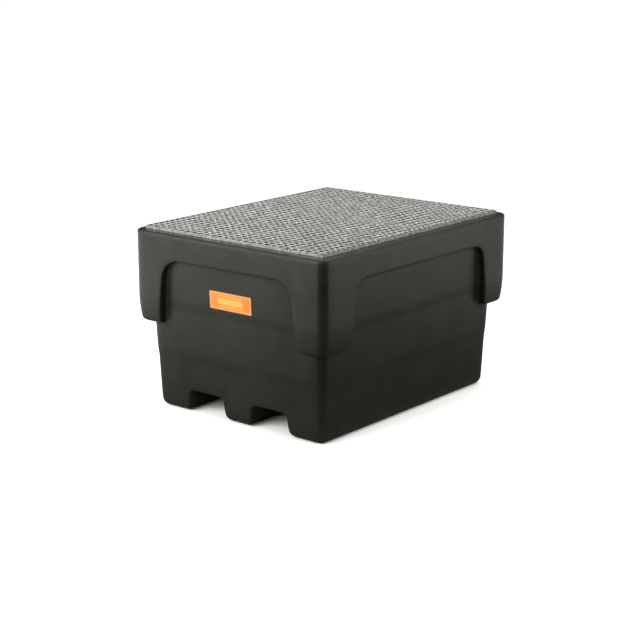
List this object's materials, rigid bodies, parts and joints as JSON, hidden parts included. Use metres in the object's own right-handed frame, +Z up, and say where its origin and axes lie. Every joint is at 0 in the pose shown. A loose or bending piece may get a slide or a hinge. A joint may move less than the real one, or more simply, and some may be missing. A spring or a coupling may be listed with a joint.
{
  "type": "spill containment pallet",
  "caption": "Black moulded plastic sump with an arched skirt, fork channels under it and a lift-out galvanised steel grating on top for standing a bulk liquid container on.",
  "frame": {"origin": "on the floor under the middle of the tub, at the centre of the bounding box's base", "axes": "+Z up, +Y along the long side and the fork channels, -Y is the front face that carries the label, +X to the right of someone facing that label"},
  "size_m": [1.11, 1.385, 0.84],
  "materials": {
    "black_polyethylene": "satin, lightly grained rotational moulding",
    "label_film": "printed satin film",
    "galvanised_steel": "hot-dip galvanised, dull spangle"
  },
  "bodies": {
    "sump_tub": {"tub": "black_polyethylene", "label": "label_film"},
    "grating": {"bearing_bar_01": "galvanised_steel", "bearing_bar_02": "galvanised_steel", "bearing_bar_03": "galvanised_steel", "bearing_bar_04": "galvanised_steel", "bearing_bar_05": "galvanised_steel", "bearing_bar_06": "galvanised_steel", "bearing_bar_07": "galvanised_steel", "bearing_bar_08": "galvanised_steel", "bearing_bar_09": "galvanised_steel", "bearing_bar_10": "galvanised_steel", "bearing_bar_11": "galvanised_steel", "bearing_bar_12": "galvanised_steel", "bearing_bar_13": "galvanised_steel", "bearing_bar_14": "galvanised_steel", "bearing_bar_15": "galvanised_steel", "bearing_bar_16": "galvanised_steel", "bearing_bar_17": "galvanised_steel", "bearing_bar_18": "galvanised_steel", "bearing_bar_19": "galvanised_steel", "bearing_bar_20": "galvanised_steel", "bearing_bar_21": "galvanised_steel", "bearing_bar_22": "galvanised_steel", "bearing_bar_23": "galvanised_steel", "bearing_bar_24": "galvanised_steel", "bearing_bar_25": "galvanised_steel", "bearing_bar_26": "galvanised_steel", "bearing_bar_27": "galvanised_steel", "bearing_bar_28": "galvanised_steel", "bearing_bar_29": "galvanised_steel", "bearing_bar_30": "galvanised_steel", "bearing_bar_31": "galvanised_steel", "bearing_bar_32": "galvanised_steel", "bearing_bar_33": "galvanised_steel", "bearing_bar_34": "galvanised_steel", "bearing_bar_35": "galvanised_steel", "bearing_bar_36": "galvanised_steel", "bearing_bar_37": "galvanised_steel", "bearing_bar_38": "galvanised_steel", "bearing_bar_39": "galvanised_steel", "cross_rods": "galvanised_steel", "banding_left": "galvanised_steel", "banding_right": "galvanised_steel"}
  },
  "joints": [
    {"name": "grating_lift", "type": "slide", "parent": "sump_tub", "child": "grating", "axis": [0, 0, 1], "range_m": [0, 0.2]}
  ]
}
